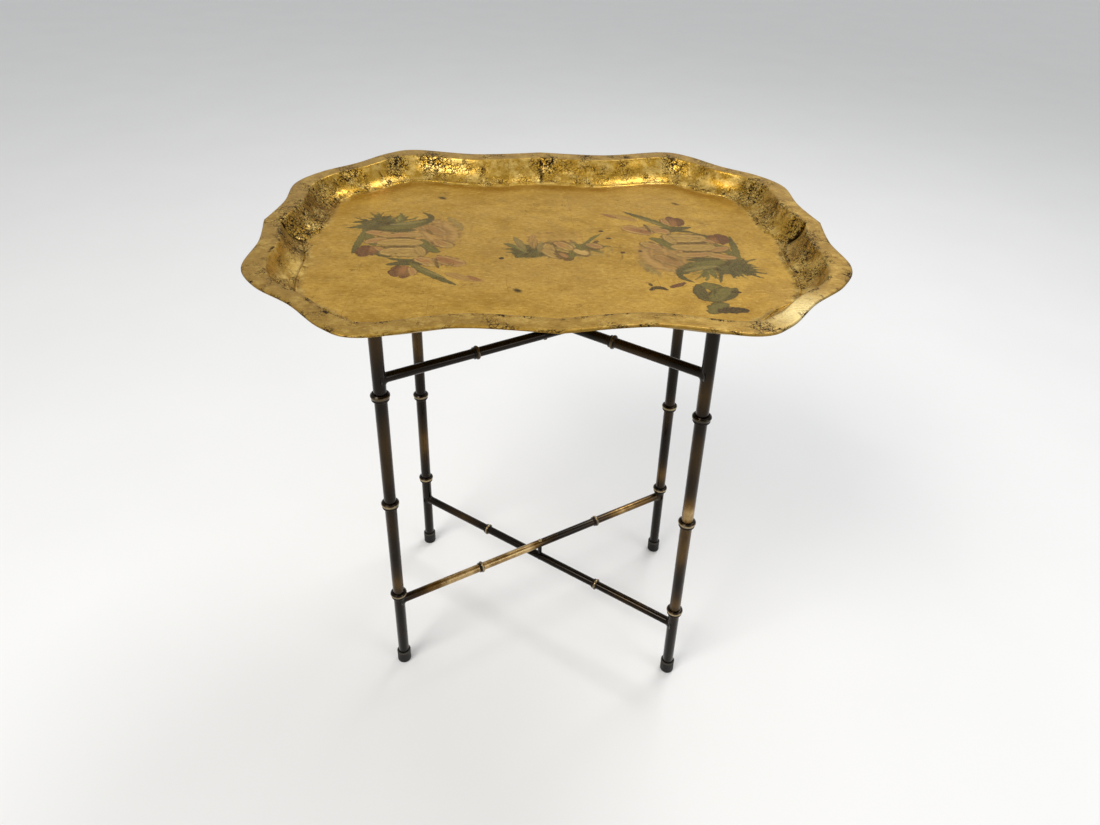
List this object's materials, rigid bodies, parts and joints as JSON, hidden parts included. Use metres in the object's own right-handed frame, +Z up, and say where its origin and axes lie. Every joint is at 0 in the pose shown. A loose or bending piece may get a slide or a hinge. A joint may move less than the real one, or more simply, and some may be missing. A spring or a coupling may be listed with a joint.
{
  "type": "folding tray table",
  "caption": "Scalloped oblong gilt tray with a raised rim and painted flowers, resting on a folding crossed stand of bamboo-style antiqued brass tube.",
  "frame": {"origin": "on the floor, under the middle of the tray, on the line that the stand's two frames pivot about", "axes": "+Z up, +X along the tray's long side, -Y towards the front; the stand is turned 4.4 degrees clockwise under the tray"},
  "size_m": [0.656, 0.52, 0.69],
  "materials": {
    "gilt_tray": "aged gold leaf over moulded wood pulp, crackled and varnished, with painted flowers",
    "antique_brass": "dark antique lacquer, burnished through to golden brown in patches",
    "foot_rubber": "moulded, slightly shiny",
    "plug_plastic": "moulded"
  },
  "bodies": {
    "frame_a": {"leg_front_left": "antique_brass", "leg_ring_front_left_1": "antique_brass", "leg_ring_front_left_2": "antique_brass", "leg_ring_front_left_3": "antique_brass", "foot_front_left": "foot_rubber", "top_plug_front_left": "plug_plastic", "leg_back_right": "antique_brass", "leg_ring_back_right_1": "antique_brass", "leg_ring_back_right_2": "antique_brass", "leg_ring_back_right_3": "antique_brass", "foot_back_right": "foot_rubber", "top_plug_back_right": "plug_plastic", "stretcher_lower_a": "antique_brass", "stretcher_ring_lower_a_1": "antique_brass", "stretcher_ring_lower_a_2": "antique_brass", "stretcher_upper_a": "antique_brass", "stretcher_ring_upper_a_1": "antique_brass", "stretcher_ring_upper_a_2": "antique_brass", "pivot_rivet_lower": "antique_brass", "pivot_spacer_lower": "antique_brass", "pivot_rivet_upper": "antique_brass", "pivot_spacer_upper": "antique_brass"},
    "frame_b": {"leg_front_right": "antique_brass", "leg_ring_front_right_1": "antique_brass", "leg_ring_front_right_2": "antique_brass", "leg_ring_front_right_3": "antique_brass", "foot_front_right": "foot_rubber", "top_plug_front_right": "plug_plastic", "leg_back_left": "antique_brass", "leg_ring_back_left_1": "antique_brass", "leg_ring_back_left_2": "antique_brass", "leg_ring_back_left_3": "antique_brass", "foot_back_left": "foot_rubber", "top_plug_back_left": "plug_plastic", "stretcher_lower_b": "antique_brass", "stretcher_ring_lower_b_1": "antique_brass", "stretcher_ring_lower_b_2": "antique_brass", "stretcher_upper_b": "antique_brass", "stretcher_ring_upper_b_1": "antique_brass", "stretcher_ring_upper_b_2": "antique_brass"},
    "tray": {"tray": "gilt_tray"}
  },
  "joints": [
    {"name": "stand_fold", "type": "hinge", "parent": "frame_a", "child": "frame_b", "pos_m": [0, 0, 0.35], "axis": [0, 0, 1], "range_deg": [-110, 55]},
    {"name": "tray_lift", "type": "slide", "parent": "frame_a", "child": "tray", "axis": [0, 0, 1], "range_m": [0, 0.25]}
  ]
}
